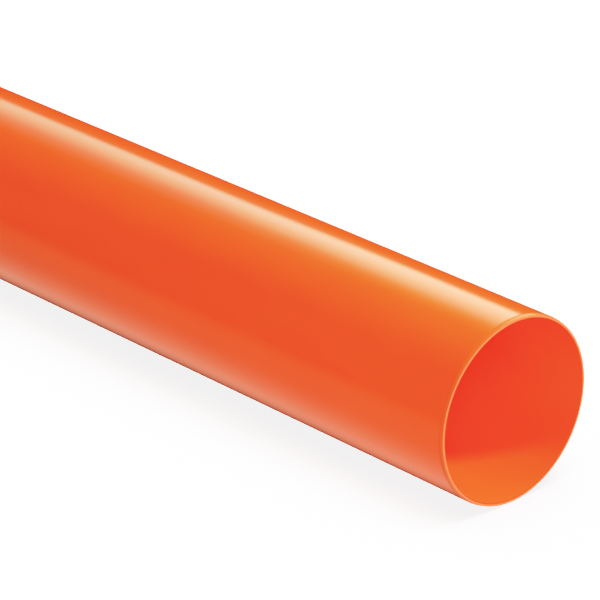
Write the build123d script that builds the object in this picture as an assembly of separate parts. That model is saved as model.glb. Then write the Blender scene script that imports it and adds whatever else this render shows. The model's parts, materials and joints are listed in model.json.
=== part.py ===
from build123d import *

import os

# Straight length of plain-ended orange PVC-U electrical duct.
#
# The duct is one extruded tube, sawn square to length. The outer corner of each end has a shallow
# lead-in bevel, so that a coupling or cap slides on, and the inner corner is broken so that it
# can't scrape a cable as it is pulled through.
#
# Row frame, in millimetres: +X runs along the tube's axis, +Z is up, and the origin is on the
# axis, halfway along the tube.

# Driving dimensions
OUTER_DIAMETER = 110.0
WALL_THICKNESS = 2.2
TUBE_LENGTH = 1000.0

# Lead-in bevel on the outer corner of each end: long and shallow
BEVEL_LENGTH = 2.0  # along the axis
BEVEL_DEPTH = 0.4  # into the wall

# Broken inner corner of each end: the same both ways
INNER_BREAK = 0.2

OUTER_RADIUS = OUTER_DIAMETER / 2
INNER_RADIUS = OUTER_RADIUS - WALL_THICKNESS
HALF_LENGTH = TUBE_LENGTH / 2


def wall_section():
    """The wall cut by a plane through the axis: X along the axis, Y the radius."""
    corners = [
        (HALF_LENGTH - INNER_BREAK, INNER_RADIUS),
        (HALF_LENGTH, INNER_RADIUS + INNER_BREAK),
        (HALF_LENGTH, OUTER_RADIUS - BEVEL_DEPTH),
        (HALF_LENGTH - BEVEL_LENGTH, OUTER_RADIUS),
    ]
    far_end = [(-x, radius) for x, radius in reversed(corners)]
    return make_face(Polyline(*corners, *far_end, close=True))


def duct_tube():
    """The whole tube: its wall section turned once round the axis."""
    return revolve(wall_section(), axis=Axis.X, revolution_arc=360)


os.makedirs("parts", exist_ok=True)
export_step(duct_tube(), "parts/duct_tube.step")
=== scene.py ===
import json
import math

import bmesh
import bpy
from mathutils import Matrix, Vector


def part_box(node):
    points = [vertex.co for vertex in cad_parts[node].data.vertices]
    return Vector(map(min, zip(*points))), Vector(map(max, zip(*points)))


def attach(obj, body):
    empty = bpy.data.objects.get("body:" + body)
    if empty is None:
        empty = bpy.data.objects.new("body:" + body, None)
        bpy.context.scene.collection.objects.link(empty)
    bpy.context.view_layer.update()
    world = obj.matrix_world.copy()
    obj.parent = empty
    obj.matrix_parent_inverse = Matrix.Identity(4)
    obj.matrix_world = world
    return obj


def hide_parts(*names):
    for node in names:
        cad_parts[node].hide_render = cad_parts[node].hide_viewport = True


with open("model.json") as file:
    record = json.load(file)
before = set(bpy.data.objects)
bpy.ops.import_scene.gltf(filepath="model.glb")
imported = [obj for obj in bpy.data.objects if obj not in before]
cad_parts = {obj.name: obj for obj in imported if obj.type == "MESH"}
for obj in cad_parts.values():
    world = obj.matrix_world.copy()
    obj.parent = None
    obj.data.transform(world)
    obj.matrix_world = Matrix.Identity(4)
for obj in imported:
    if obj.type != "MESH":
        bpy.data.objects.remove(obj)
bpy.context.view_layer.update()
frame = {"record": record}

# ---------------------------------------------------------------- sizes, read from the frame

MILLIMETRE = 0.001
mounts = {mount["name"]: mount for mount in frame["record"]["mounts"]}
spigot = mounts["spigot_plus_x"]["dims"]
bore = mounts["bore"]["dims"]

NODE = "duct_tube"
BODY = "root"
HALF_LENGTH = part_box(NODE)[1].x
OUTER_RADIUS = spigot["r_mm"] * MILLIMETRE
BORE_RADIUS = bore["r_mm"] * MILLIMETRE
BEVEL_LENGTH = HALF_LENGTH - spigot["length_mm"] * MILLIMETRE / 2
INNER_BREAK = HALF_LENGTH - bore["length_mm"] * MILLIMETRE / 2
FACE_INNER_RADIUS = BORE_RADIUS + INNER_BREAK
FACE_MIDDLE_RADIUS = mounts["end_plus_x"]["pos_m"][2]
FACE_OUTER_RADIUS = 2 * FACE_MIDDLE_RADIUS - FACE_INNER_RADIUS
MOUTH = Vector((HALF_LENGTH, 0, 0))


# ---------------------------------------------------------------- camera

CAMERA_AZIMUTH = math.radians(47.46)
CAMERA_ELEVATION = math.radians(23.91)
CAMERA_LENS_MM = 209.8
SENSOR_MM = 36.0
MOUTH_AHEAD = 1.8849  # where the mouth's centre lies from the camera, along its three axes
MOUTH_RIGHT = 0.1158
MOUTH_BELOW = 0.0600


def make_camera():
    back = Vector((
        math.sin(CAMERA_AZIMUTH) * math.cos(CAMERA_ELEVATION),
        -math.cos(CAMERA_AZIMUTH) * math.cos(CAMERA_ELEVATION),
        math.sin(CAMERA_ELEVATION),
    ))
    right = Vector((0, 0, 1)).cross(back).normalized()
    up = back.cross(right)
    data = bpy.data.cameras.new("camera")
    data.lens = CAMERA_LENS_MM
    data.sensor_width = SENSOR_MM
    camera = bpy.data.objects.new("camera", data)
    camera.location = MOUTH + back * MOUTH_AHEAD - right * MOUTH_RIGHT + up * MOUTH_BELOW
    camera.rotation_mode = "QUATERNION"
    camera.rotation_quaternion = (-back).to_track_quat("-Z", "Y")
    bpy.context.scene.collection.objects.link(camera)
    bpy.context.scene.camera = camera


# ---------------------------------------------------------------- the tube's mesh

SEGMENTS_ROUND = 360
WALL_STEPS = 20
ROUND_STEPS = 4
LEAD_IN_RADIUS = 1.0 * MILLIMETRE
BEVEL_EDGE_RADIUS = 0.15 * MILLIMETRE
INNER_EDGE_RADIUS = 0.05 * MILLIMETRE
# One more point this far along the wall from its last corner keeps the smooth shading of the wall flat.
SUPPORT_GAP = 0.6 * MILLIMETRE

# The kinds of the section's points, which are also the numbers of the materials.
# A face between two points of different kinds takes the one that comes later in this list.
OUTER_WALL, BORE_WALL, BEVEL, SAWN_FACE = range(4)


def rounded_corner(before, corner, after, radius):
    """Points of an arc of that radius that replaces a corner of the wall's section."""
    a = (before - corner).normalized()
    b = (after - corner).normalized()
    half_angle = a.angle(b) / 2
    reach = radius / math.tan(half_angle)
    centre = corner + (a + b).normalized() * radius / math.sin(half_angle)
    start = corner + a * reach - centre
    end = corner + b * reach - centre
    # slerp gives vectors of length 1.
    directions = [start.slerp(end, step / ROUND_STEPS) for step in range(ROUND_STEPS + 1)]
    return [centre + direction * radius for direction in directions]


def end_section():
    """The wall's section at the +X end, from the outer wall round to the bore: (point, kind)."""
    wall = Vector((0, OUTER_RADIUS))
    bevel_start = Vector((HALF_LENGTH - BEVEL_LENGTH, OUTER_RADIUS))
    bevel_end = Vector((HALF_LENGTH, FACE_OUTER_RADIUS))
    break_start = Vector((HALF_LENGTH, FACE_INNER_RADIUS))
    break_end = Vector((HALF_LENGTH - INNER_BREAK, BORE_RADIUS))
    bore_middle = Vector((0, BORE_RADIUS))
    support = Vector((SUPPORT_GAP, 0))
    lead_in = rounded_corner(wall, bevel_start, bevel_end, LEAD_IN_RADIUS)
    edge = rounded_corner(bevel_start, bevel_end, break_start, BEVEL_EDGE_RADIUS)
    inner_top = rounded_corner(bevel_end, break_start, break_end, INNER_EDGE_RADIUS)
    inner_low = rounded_corner(break_start, break_end, bore_middle, INNER_EDGE_RADIUS)
    points = [(lead_in[0] - support, OUTER_WALL)]
    points += [(point, BEVEL) for point in (*lead_in, *edge[:-1])]
    points += [(point, SAWN_FACE) for point in (edge[-1], *inner_top, *inner_low[:-1])]
    points += [(point, BORE_WALL) for point in (inner_low[-1], inner_low[-1] - support)]
    return points


def whole_section():
    """The wall's closed section: outer wall, +X end, bore and -X end, as (point, kind)."""
    near = end_section()
    far = [(Vector((-point.x, point.y)), kind) for point, kind in reversed(near)]
    start, end = far[-1][0], near[0][0]
    outer = [(start.lerp(end, step / WALL_STEPS), OUTER_WALL) for step in range(1, WALL_STEPS)]
    start, end = near[-1][0], far[0][0]
    inner = [(start.lerp(end, step / WALL_STEPS), BORE_WALL) for step in range(1, WALL_STEPS)]
    return outer + near + inner + far


def make_tube():
    """The wall's section, turned round the X axis."""
    section = whole_section()
    mesh = bmesh.new()
    rings = []
    for step in range(SEGMENTS_ROUND):
        angle = 2 * math.pi * step / SEGMENTS_ROUND
        ring = [
            mesh.verts.new((point.x, -point.y * math.sin(angle), point.y * math.cos(angle)))
            for point, _ in section
        ]
        rings.append(ring)
    count = len(section)
    for ring, following in zip(rings, rings[1:] + rings[:1]):
        for i in range(count):
            j = (i + 1) % count
            face = mesh.faces.new((ring[i], ring[j], following[j], following[i]))
            face.material_index = max(section[i][1], section[j][1])
            face.smooth = True
    bmesh.ops.recalc_face_normals(mesh, faces=mesh.faces)
    data = bpy.data.meshes.new("duct_wall")
    mesh.to_mesh(data)
    mesh.free()
    tube = bpy.data.objects.new("duct_wall", data)
    bpy.context.scene.collection.objects.link(tube)
    return tube


# ---------------------------------------------------------------- node helpers

NOISE_DETAIL = 2.0


def new_material(name):
    material = bpy.data.materials.new(name)
    material.use_nodes = True
    return material, material.node_tree.nodes, material.node_tree.links


def feed(links, socket, value):
    """Puts a number or a colour on a socket, or joins another socket to it."""
    if isinstance(value, bpy.types.NodeSocket):
        links.new(value, socket)
    else:
        socket.default_value = value


def math_node(nodes, links, operation, *values):
    node = nodes.new("ShaderNodeMath")
    node.operation = operation
    for socket, value in zip(node.inputs, values):
        feed(links, socket, value)
    return node.outputs[0]


def step_between(nodes, links, value, start, end, low=0.0, high=1.0):
    """A smooth step of a value, from low at start to high at end."""
    node = nodes.new("ShaderNodeMapRange")
    node.interpolation_type = "SMOOTHSTEP"
    links.new(value, node.inputs["Value"])
    feed(links, node.inputs["From Min"], start)
    feed(links, node.inputs["From Max"], end)
    feed(links, node.inputs["To Min"], low)
    feed(links, node.inputs["To Max"], high)
    return node.outputs["Result"]


def position_axes(nodes, links):
    """The world's x, y and z of the place that is shaded."""
    place = nodes.new("ShaderNodeNewGeometry").outputs["Position"]
    split = nodes.new("ShaderNodeSeparateXYZ")
    links.new(place, split.inputs[0])
    return split.outputs


def tube_place(nodes, links, scale, turn=0.0):
    """The tube's own coordinates, turned about its axis and then scaled along each axis."""
    mapping = nodes.new("ShaderNodeMapping")
    mapping.inputs["Rotation"].default_value = (turn, 0, 0)
    mapping.inputs["Scale"].default_value = scale
    links.new(nodes.new("ShaderNodeTexCoord").outputs["Object"], mapping.inputs["Vector"])
    return mapping.outputs["Vector"]


def noise(nodes, links, place):
    """Noise with cells of one unit in the place's coordinates, which are scaled already."""
    node = nodes.new("ShaderNodeTexNoise")
    node.inputs["Scale"].default_value = 1.0
    node.inputs["Detail"].default_value = NOISE_DETAIL
    links.new(place, node.inputs["Vector"])
    return node.outputs["Fac"]


def length_of(nodes, links, vector):
    node = nodes.new("ShaderNodeVectorMath")
    node.operation = "LENGTH"
    links.new(vector, node.inputs[0])
    return node.outputs["Value"]


def mix_colours(nodes, links, amount, first, second):
    node = nodes.new("ShaderNodeMix")
    node.data_type = "RGBA"
    factor, _, _, _, _, _, colour_a, colour_b, *_ = node.inputs
    feed(links, factor, amount)
    feed(links, colour_a, first)
    feed(links, colour_b, second)
    return node.outputs[2]


def bump(nodes, links, height, depth, under=None):
    """Raises the surface by a height from 0 to 1 times the depth, on top of an earlier bump."""
    node = nodes.new("ShaderNodeBump")
    node.inputs["Distance"].default_value = depth
    links.new(height, node.inputs["Height"])
    if under:
        links.new(under, node.inputs["Normal"])
    return node.outputs["Normal"]


# ---------------------------------------------------------------- materials of the duct

PVC_IOR = 1.5

# Scales of the tube's coordinates: only along its axis, only away from its axis, and unchanged.
ALONG_AXIS = (1, 0, 0)
FROM_AXIS = (0, 1, 1)
UNSCALED = (1, 1, 1)

# How many cells of noise fit in a metre, along the tube and across it.
DIE_LINES = (2, 420, 420)
SETTLING = (9, 42, 42)
MOTTLING = (24, 55, 55)
TURNING = (2100, 60, 60)

# The part of a pattern's values that a colour or a roughness is spread over.
MOTTLING_RANGE = (0.3, 0.7)
DIE_LINES_RANGE = (0.25, 0.75)
SETTLING_RANGE = (0.25, 0.75)
TURNING_RANGE = (0.3, 0.7)
SAW_RANGE = (0.2, 0.8)

ORANGE = (0.905, 0.093, 0.018, 1)
ORANGE_DEEP = (0.885, 0.088, 0.0175, 1)
WALL_ROUGHNESS = (0.125, 0.165)
WALL_SETTLING_DEPTH = 0.06 * MILLIMETRE
WALL_LINE_DEPTH = 0.006 * MILLIMETRE

BORE_ORANGE = (0.87, 0.093, 0.0205, 1)
BORE_ORANGE_DEEP = (0.85, 0.088, 0.0195, 1)
BORE_ROUGHNESS = (0.28, 0.34)
BORE_SETTLING_DEPTH = 0.08 * MILLIMETRE
BORE_LINE_DEPTH = 0.004 * MILLIMETRE
# Painted shade: a darker orange in a thin line just inside the mouth, for the shade at the inner edge.
BORE_MOUTH_SHADE_ORANGE = (0.48, 0.092, 0.010, 1)
BORE_MOUTH_SHADE_REACH = 0.9 * MILLIMETRE

BEVEL_ORANGE = (0.76, 0.086, 0.014, 1)
# Painted shade: a darker olive line where the bevel starts, which is also less glossy there.
BEVEL_SHADE_OLIVE = (0.60, 0.088, 0.011, 1)
BEVEL_ROUGHNESS = (0.22, 0.34)
BEVEL_SPECULAR = 0.5
DULL_LINE_SPECULAR = 0.12
SHADE_LINE_REACH = 0.9 * MILLIMETRE
SHADE_LINE_SHARE = (0.75, 1.0)
TURNING_DEPTH = 0.01 * MILLIMETRE

SAWN_ORANGE = (0.98, 0.108, 0.045, 1)
# Painted shade: the dark colour of a line round the cut's inner edge; the saw marks darken towards it
# too.
SAWN_SHADE_AND_MARKS = (0.36, 0.032, 0.007, 1)
SAWN_SHADE_LINE_WIDTH = 0.4 * MILLIMETRE
SAWN_ROUGHNESS = (0.5, 0.65)
SAWN_SPECULAR = 0.15
SAW_SCALE = 900
SAW_DISTORTION = 3.0
SAW_DETAIL = 3.0
SAW_TURN = math.radians(28)
SAW_MARK_SHADE = 0.08
SAW_MARK_DEPTH = 0.01 * MILLIMETRE


def plastic(name):
    material, nodes, links = new_material(name)
    shader = nodes["Principled BSDF"]
    shader.inputs["IOR"].default_value = PVC_IOR
    return material, nodes, links, shader.inputs


def extruded_patterns(nodes, links):
    """What extrusion leaves on the wall: die lines along it, slow waves, and a mottled tint."""
    lines = noise(nodes, links, tube_place(nodes, links, DIE_LINES))
    waves = noise(nodes, links, tube_place(nodes, links, SETTLING))
    cloud = noise(nodes, links, tube_place(nodes, links, MOTTLING))
    return lines, waves, step_between(nodes, links, cloud, *MOTTLING_RANGE)


def outer_wall_material():
    """Glossy extruded wall: faint die lines along it, slow waviness, an even orange."""
    material, nodes, links, inputs = plastic("pvc_outer_wall")
    lines, waves, tint = extruded_patterns(nodes, links)
    roughness = step_between(nodes, links, lines, *DIE_LINES_RANGE, *WALL_ROUGHNESS)
    normal = bump(nodes, links, waves, WALL_SETTLING_DEPTH)
    normal = bump(nodes, links, lines, WALL_LINE_DEPTH, normal)
    feed(links, inputs["Base Color"], mix_colours(nodes, links, tint, ORANGE, ORANGE_DEEP))
    feed(links, inputs["Roughness"], roughness)
    feed(links, inputs["Normal"], normal)
    return material


def bore_wall_material():
    """The bore: a little duller than the outside, with a thin line of painted shade at the mouth."""
    material, nodes, links, inputs = plastic("pvc_bore_wall")
    lines, waves, tint = extruded_patterns(nodes, links)
    colour = mix_colours(nodes, links, tint, BORE_ORANGE, BORE_ORANGE_DEEP)
    out = length_of(nodes, links, tube_place(nodes, links, ALONG_AXIS))
    bore_end = HALF_LENGTH - INNER_BREAK
    # Painted shade: the bore turns to the shade colour in a thin line at the mouth.
    mouth_shade = step_between(nodes, links, out, bore_end - BORE_MOUTH_SHADE_REACH, bore_end)
    roughness = step_between(nodes, links, waves, *SETTLING_RANGE, *BORE_ROUGHNESS)
    normal = bump(nodes, links, waves, BORE_SETTLING_DEPTH)
    normal = bump(nodes, links, lines, BORE_LINE_DEPTH, normal)
    feed(links, inputs["Base Color"], mix_colours(nodes, links, mouth_shade, colour, BORE_MOUTH_SHADE_ORANGE))
    feed(links, inputs["Roughness"], roughness)
    feed(links, inputs["Normal"], normal)
    return material


def bevel_material():
    """The turned bevel: fine rings, and where it starts a duller line, in darker olive as painted shade.
    """
    material, nodes, links, inputs = plastic("pvc_bevel")
    out = length_of(nodes, links, tube_place(nodes, links, ALONG_AXIS))
    rings = noise(nodes, links, tube_place(nodes, links, TURNING))
    off = math_node(nodes, links, "SUBTRACT", out, HALF_LENGTH - BEVEL_LENGTH)
    off = math_node(nodes, links, "ABSOLUTE", off)
    # A line of painted shade where the bevel starts: darker olive and with less gloss.
    bevel_shade_line = step_between(nodes, links, off, SHADE_LINE_REACH, SHADE_LINE_REACH / 2)
    uneven = step_between(nodes, links, rings, *TURNING_RANGE, *SHADE_LINE_SHARE)
    bevel_shade_line = math_node(nodes, links, "MULTIPLY", bevel_shade_line, uneven)
    change = DULL_LINE_SPECULAR - BEVEL_SPECULAR
    specular = math_node(nodes, links, "MULTIPLY_ADD", bevel_shade_line, change, BEVEL_SPECULAR)
    roughness = step_between(nodes, links, rings, *TURNING_RANGE, *BEVEL_ROUGHNESS)
    feed(links, inputs["Specular IOR Level"], specular)
    feed(links, inputs["Base Color"], mix_colours(nodes, links, bevel_shade_line, BEVEL_ORANGE, BEVEL_SHADE_OLIVE))
    feed(links, inputs["Roughness"], roughness)
    feed(links, inputs["Normal"], bump(nodes, links, rings, TURNING_DEPTH))
    return material


def sawn_face_material():
    """The cut end: saw marks across it, and a line of painted shade round its inner edge."""
    material, nodes, links, inputs = plastic("pvc_sawn_face")
    wave = nodes.new("ShaderNodeTexWave")
    wave.bands_direction = "Z"
    wave.inputs["Scale"].default_value = SAW_SCALE
    wave.inputs["Distortion"].default_value = SAW_DISTORTION
    wave.inputs["Detail"].default_value = SAW_DETAIL
    links.new(tube_place(nodes, links, UNSCALED, SAW_TURN), wave.inputs["Vector"])
    marks = wave.outputs["Fac"]
    radius = length_of(nodes, links, tube_place(nodes, links, FROM_AXIS))
    inner = FACE_INNER_RADIUS
    # A thin line of painted shade at the inner edge, with the saw marks' own darkening on top.
    shade_and_marks = step_between(nodes, links, radius, inner + SAWN_SHADE_LINE_WIDTH, inner)
    grain = step_between(nodes, links, marks, *SAW_RANGE, 0.0, SAW_MARK_SHADE)
    shade_and_marks = math_node(nodes, links, "MAXIMUM", shade_and_marks, grain)
    roughness = step_between(nodes, links, marks, *SAW_RANGE, *SAWN_ROUGHNESS)
    inputs["Specular IOR Level"].default_value = SAWN_SPECULAR
    feed(links, inputs["Base Color"], mix_colours(nodes, links, shade_and_marks, SAWN_ORANGE, SAWN_SHADE_AND_MARKS))
    feed(links, inputs["Roughness"], roughness)
    feed(links, inputs["Normal"], bump(nodes, links, marks, SAW_MARK_DEPTH))
    return material


# ---------------------------------------------------------------- stage

FLOOR_SIZE = 60.0
FLOOR_ALBEDO = 0.35
FLOOR_ROUGHNESS = 0.9
FLOOR_WASH = 5.2
FLOOR_SUN = 1.3
FLOOR_SUN_SPREAD = math.radians(80)
WORLD_FILL = 0.36
WORLD_SEEN = 2.6


def glow_material(name):
    """An emitter; returns the material, its nodes and links, and the emission's inputs."""
    material, nodes, links = new_material(name)
    nodes.remove(nodes["Principled BSDF"])
    emission = nodes.new("ShaderNodeEmission")
    links.new(emission.outputs[0], nodes["Material Output"].inputs["Surface"])
    return material, nodes, links, emission.inputs


def only_in_reflections(card):
    card.visible_camera = False
    card.visible_diffuse = False
    card.visible_shadow = False
    card.visible_transmission = False


def link_light(light, receiver):
    """Lets the light reach only that object."""
    group = bpy.data.collections.new("lit_by_" + light.name)
    group.objects.link(receiver)
    light.light_linking.receiver_collection = group


def flat_card(name, low, high, height):
    """A level rectangle between two corners, each (x, y)."""
    data = bpy.data.meshes.new(name)
    corners = [(low[0], low[1]), (high[0], low[1]), (high[0], high[1]), (low[0], high[1])]
    data.from_pydata([(x, y, height) for x, y in corners], [], [(0, 1, 2, 3)])
    card = bpy.data.objects.new(name, data)
    bpy.context.scene.collection.objects.link(card)
    return card


def make_floor():
    """A pale floor that the tube rests on. Its own suns light it, and only one of them casts a shadow."""
    half = FLOOR_SIZE / 2
    floor = flat_card("floor", (-half, -half), (half, half), -OUTER_RADIUS)
    material, nodes, links = new_material("floor_paper")
    shader = nodes["Principled BSDF"]
    shader.inputs["Base Color"].default_value = (FLOOR_ALBEDO, FLOOR_ALBEDO, FLOOR_ALBEDO, 1)
    shader.inputs["Roughness"].default_value = FLOOR_ROUGHNESS
    shader.inputs["Specular IOR Level"].default_value = 0.0
    floor.data.materials.append(material)
    floor.visible_glossy = False
    floor.visible_diffuse = False
    floor.visible_shadow = False
    for name, strength, casts in (("floor_wash", FLOOR_WASH, False), ("floor_sun", FLOOR_SUN, True)):
        data = bpy.data.lights.new(name, "SUN")
        data.energy = strength * math.pi
        data.angle = FLOOR_SUN_SPREAD
        data.use_shadow = casts
        sun = bpy.data.objects.new(name, data)
        bpy.context.scene.collection.objects.link(sun)
        sun.visible_glossy = False
        link_light(sun, floor)


def make_world():
    """A plain white world: a weak fill on the tube, and bright where the camera sees past the floor."""
    world = bpy.data.worlds.new("studio")
    world.use_nodes = True
    nodes, links = world.node_tree.nodes, world.node_tree.links
    seen = nodes.new("ShaderNodeLightPath").outputs["Is Camera Ray"]
    strength = step_between(nodes, links, seen, 0.0, 1.0, WORLD_FILL, WORLD_SEEN)
    links.new(strength, nodes["Background"].inputs["Strength"])
    nodes["Background"].inputs["Color"].default_value = (1, 1, 1, 1)
    bpy.context.scene.world = world
    world.cycles_visibility.glossy = False


# ---------------------------------------------------------------- lights


def area_light(name, target, direction, distance, size, power):
    """An oval light, at that distance from the target in that direction, turned to face it."""
    data = bpy.data.lights.new(name, "AREA")
    data.shape = "ELLIPSE"
    data.size, data.size_y = size
    data.energy = power
    light = bpy.data.objects.new(name, data)
    light.location = target + direction.normalized() * distance
    light.rotation_mode = "QUATERNION"
    light.rotation_quaternion = (-direction).to_track_quat("-Z", "Y")
    bpy.context.scene.collection.objects.link(light)
    light.visible_glossy = False
    light.visible_camera = False
    return light


# From above and behind the mouth. It makes the bright patch in the bore.
KEY_DIRECTION = Vector((0.588, 0.492, 0.642))
KEY_DISTANCE = 1.8
KEY_SIZE = (0.3, 0.3)
KEY_POWER = 59.0
KEY_COLOUR = (0.80, 1.0, 0.88)

# A large, soft light in front of the mouth.
FILL_DIRECTION = Vector((0.86, -0.45, 0.46))
FILL_DISTANCE = 2.2
FILL_SIZE = (1.8, 1.8)
FILL_POWER = 53.0

# From below the mouth, as if from the table. It brightens the roof of the bore.
BOUNCE_DIRECTION = Vector((0.75, -0.5, -0.6))
BOUNCE_DISTANCE = 0.9
BOUNCE_SIZE = (0.7, 0.7)
BOUNCE_POWER = 4.6

# From beyond the far end, a little in front of the tube.
BACK_DIRECTION = Vector((-0.85, -0.20, 0.15))
BACK_DISTANCE = 3.0
BACK_SIZE = (2.0, 2.0)
BACK_POWER = 60.0

# From beyond the far end and behind the tube.
FAR_DIRECTION = Vector((-0.82, 0.57, 0))
FAR_DISTANCE = 2.6
FAR_SIZE = (1.8, 1.8)
FAR_POWER = 45.0

# Shines in at the far mouth, nearly along the axis, so that the middle of the bore isn't black.
THROUGH_DIRECTION = Vector((-1, 0, 0.08))
THROUGH_DISTANCE = 0.7
THROUGH_SIZE = (0.3, 0.3)
THROUGH_POWER = 23.0

# A long light above and behind the tube.
LONG_TARGET = Vector((-0.2, 0, 0))
LONG_DIRECTION = Vector((0, 0.7, 0.7))
LONG_DISTANCE = 1.4
LONG_SIZE = (2.2, 0.8)
LONG_POWER = 12.0


# ---------------------------------------------------------------- what the tube reflects

# The bank is an arched softbox behind the tube, round its axis. Only reflections see it.
BANK_RADIUS = 1.5
BANK_START = -2.8
BANK_END = 2.2
BANK_LOW = math.radians(5)
BANK_HIGH = math.radians(95)
BANK_STEPS = 48

# Its glow rises quickly above its lower edge and fades slowly towards its upper edge.
# Where an edge moves along the bank, there are two places in x and the edge's height at each.
BANK_STRENGTH = 3.5
BANK_LOWER_EDGE_X = (-0.8, -1.15)
BANK_LOWER_EDGE_DEGREES = (18.2, 24.1)
BANK_RISE_DEGREES = 11.0
BANK_FADE_START_DEGREES = 38.0
BANK_UPPER_EDGE_X = (-0.95, -1.2)
BANK_UPPER_EDGE_DEGREES = (81.0, 85.5)
BANK_DIM_X = (-0.8, -1.6)
BANK_DIM_SHARE = (1.0, 0.62)

# It is cream, and golden high up in the part that is reflected near the mouth.
BANK_CREAM = (1.0, 0.94, 0.82, 1)
BANK_GOLD = (1.0, 0.94, 0.10, 1)
BANK_GOLD_X = (-1.2, -0.85)
BANK_GOLD_DEGREES = (54.0, 68.0)
BANK_GOLD_SHARE = (0.1, 1.0)


def arched_sheet(name):
    """Part of a cylinder round the tube's axis, from one angle above the level to another."""
    data = bpy.data.meshes.new(name)
    points = []
    for step in range(BANK_STEPS + 1):
        angle = BANK_LOW + (BANK_HIGH - BANK_LOW) * step / BANK_STEPS
        y, z = BANK_RADIUS * math.cos(angle), BANK_RADIUS * math.sin(angle)
        points += [(BANK_START, y, z), (BANK_END, y, z)]
    faces = [(2 * i, 2 * i + 1, 2 * i + 3, 2 * i + 2) for i in range(BANK_STEPS)]
    data.from_pydata(points, [], faces)
    sheet = bpy.data.objects.new(name, data)
    bpy.context.scene.collection.objects.link(sheet)
    return sheet


def make_bank():
    bank = arched_sheet("bank")
    material, nodes, links, emission = glow_material("bank_glow")
    x, y, z = position_axes(nodes, links)
    height = math_node(nodes, links, "ARCTAN2", z, y)
    height = math_node(nodes, links, "DEGREES", height)
    lower_edge = step_between(nodes, links, x, *BANK_LOWER_EDGE_X, *BANK_LOWER_EDGE_DEGREES)
    upper_edge = step_between(nodes, links, x, *BANK_UPPER_EDGE_X, *BANK_UPPER_EDGE_DEGREES)
    risen = math_node(nodes, links, "ADD", lower_edge, BANK_RISE_DEGREES)
    rise = step_between(nodes, links, height, lower_edge, risen)
    fade = step_between(nodes, links, height, BANK_FADE_START_DEGREES, upper_edge, 1.0, 0.0)
    dim = step_between(nodes, links, x, *BANK_DIM_X, *BANK_DIM_SHARE)
    glow = math_node(nodes, links, "MULTIPLY", rise, fade)
    glow = math_node(nodes, links, "MULTIPLY", glow, dim)
    glow = math_node(nodes, links, "MULTIPLY", glow, BANK_STRENGTH)
    near = step_between(nodes, links, x, *BANK_GOLD_X)
    high = step_between(nodes, links, height, *BANK_GOLD_DEGREES, *BANK_GOLD_SHARE)
    golden = math_node(nodes, links, "MULTIPLY", near, high)
    feed(links, emission["Strength"], glow)
    feed(links, emission["Color"], mix_colours(nodes, links, golden, BANK_CREAM, BANK_GOLD))
    bank.data.materials.append(material)
    only_in_reflections(bank)


# The glow under the tube: two bands of y, each from its outer edge to where it is brightest, with
# the strengths there, and the band in which the glow fades out again towards the contact line.
UNDER_COLOUR = (1.0, 0.95, 0.74, 1)
UNDER_CORNER = Vector((3.0, 0.6))
UNDER_LIFT = 0.5 * MILLIMETRE
UNDER_WIDE_Y = (0.42, 0.12)
UNDER_WIDE = (0.0, 0.5)
UNDER_CLOSE_Y = (0.10, 0.045)
UNDER_CLOSE = (0.0, 0.45)
UNDER_CONTACT_Y = (0.020, 0.049)


def make_under_glow():
    """What the tube's underside reflects of the white table, brightest just beside the contact line."""
    card = flat_card("under_glow", -UNDER_CORNER, UNDER_CORNER, UNDER_LIFT - OUTER_RADIUS)
    material, nodes, links, emission = glow_material("under_glow")
    _, y, _ = position_axes(nodes, links)
    out = math_node(nodes, links, "ABSOLUTE", y)
    wide = step_between(nodes, links, out, *UNDER_WIDE_Y, *UNDER_WIDE)
    close = step_between(nodes, links, out, *UNDER_CLOSE_Y, *UNDER_CLOSE)
    contact = step_between(nodes, links, out, *UNDER_CONTACT_Y)
    glow = math_node(nodes, links, "ADD", wide, close)
    glow = math_node(nodes, links, "MULTIPLY", glow, contact)
    feed(links, emission["Strength"], glow)
    feed(links, emission["Color"], UNDER_COLOUR)
    card.data.materials.append(material)
    only_in_reflections(card)


# ---------------------------------------------------------------- the object


def make_object():
    """The tube, with its four materials in the order of the kinds, in place of its CAD node."""
    tube = make_tube()
    for material in (outer_wall_material, bore_wall_material, bevel_material, sawn_face_material):
        tube.data.materials.append(material())
    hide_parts(NODE)
    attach(tube, BODY)
    return tube


# ---------------------------------------------------------------- tone

# A print's tone curve, as (light in, light out): a little lift in the middle, then a long shoulder
# that holds bright orange back and lets only highlights and the white table reach full white.
TONE = (
    (0.10, 0.107),
    (0.17, 0.195),
    (0.23, 0.265),
    (0.34, 0.435),
    (0.54, 0.645),
    (0.78, 0.825),
    (1.00, 0.853),
    (1.35, 0.872),
    (1.60, 0.893),
    (1.87, 0.950),
    (2.15, 0.988),
)
TONE_WHITE = (2.6, 1.0)
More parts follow.
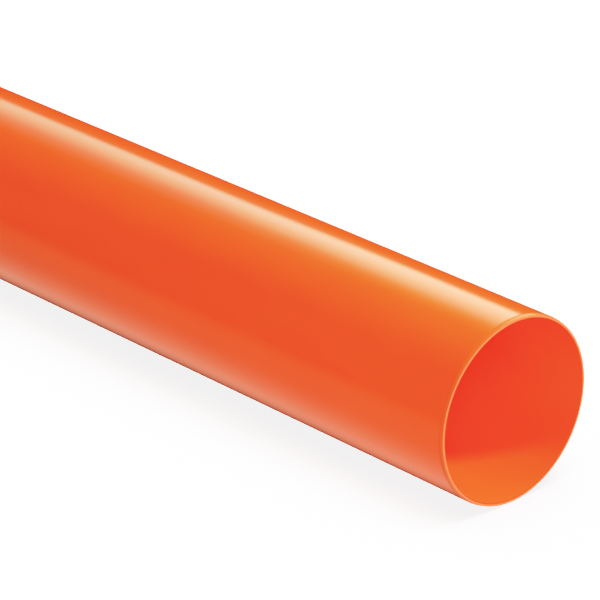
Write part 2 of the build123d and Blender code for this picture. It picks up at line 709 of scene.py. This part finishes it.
# The print's blue has a raised toe: a saturated orange keeps a trace of blue.
BLUE_TOE = ((0.006, 0.017), (0.014, 0.0225), (0.028, 0.0240), (0.050, 0.044), (0.100, 0.094))
# The numbers of the curves in Blender's curve mapping.
RED, GREEN, BLUE, COMBINED = range(4)


def shape_curve(curve, points, end):
    """A curve from the origin through the points to its end."""
    curve.points[0].location = (0, 0)
    curve.points[1].location = end
    for place in points:
        curve.points.new(*place)
    for point in curve.points:
        point.handle_type = "AUTO_CLAMPED"


def set_tone():
    view = bpy.context.scene.view_settings
    view.view_transform = "Standard"
    view.use_curve_mapping = True
    mapping = view.curve_mapping
    widest = TONE_WHITE[0]
    mapping.use_clip = True
    mapping.clip_max_x = widest
    mapping.clip_max_y = widest
    shape_curve(mapping.curves[COMBINED], TONE, TONE_WHITE)
    shape_curve(mapping.curves[BLUE], BLUE_TOE, (widest, widest))
    for channel in (RED, GREEN):
        shape_curve(mapping.curves[channel], (), (widest, widest))
    mapping.update()


# ---------------------------------------------------------------- the scene

make_camera()
duct_wall = make_object()
make_floor()
make_world()
key = area_light("key", MOUTH, KEY_DIRECTION, KEY_DISTANCE, KEY_SIZE, KEY_POWER)
key.data.color = KEY_COLOUR
fill = area_light("fill", MOUTH, FILL_DIRECTION, FILL_DISTANCE, FILL_SIZE, FILL_POWER)
long_light = area_light("long", LONG_TARGET, LONG_DIRECTION, LONG_DISTANCE, LONG_SIZE, LONG_POWER)
back = area_light("back", -MOUTH, BACK_DIRECTION, BACK_DISTANCE, BACK_SIZE, BACK_POWER)
far = area_light("far", -MOUTH, FAR_DIRECTION, FAR_DISTANCE, FAR_SIZE, FAR_POWER)
through = area_light(
    "through", -MOUTH, THROUGH_DIRECTION, THROUGH_DISTANCE, THROUGH_SIZE, THROUGH_POWER
)
bounce = area_light("bounce", MOUTH, BOUNCE_DIRECTION, BOUNCE_DISTANCE, BOUNCE_SIZE, BOUNCE_POWER)
for light in (key, fill, back, far, through, bounce, long_light):
    link_light(light, duct_wall)
make_bank()
make_under_glow()
set_tone()
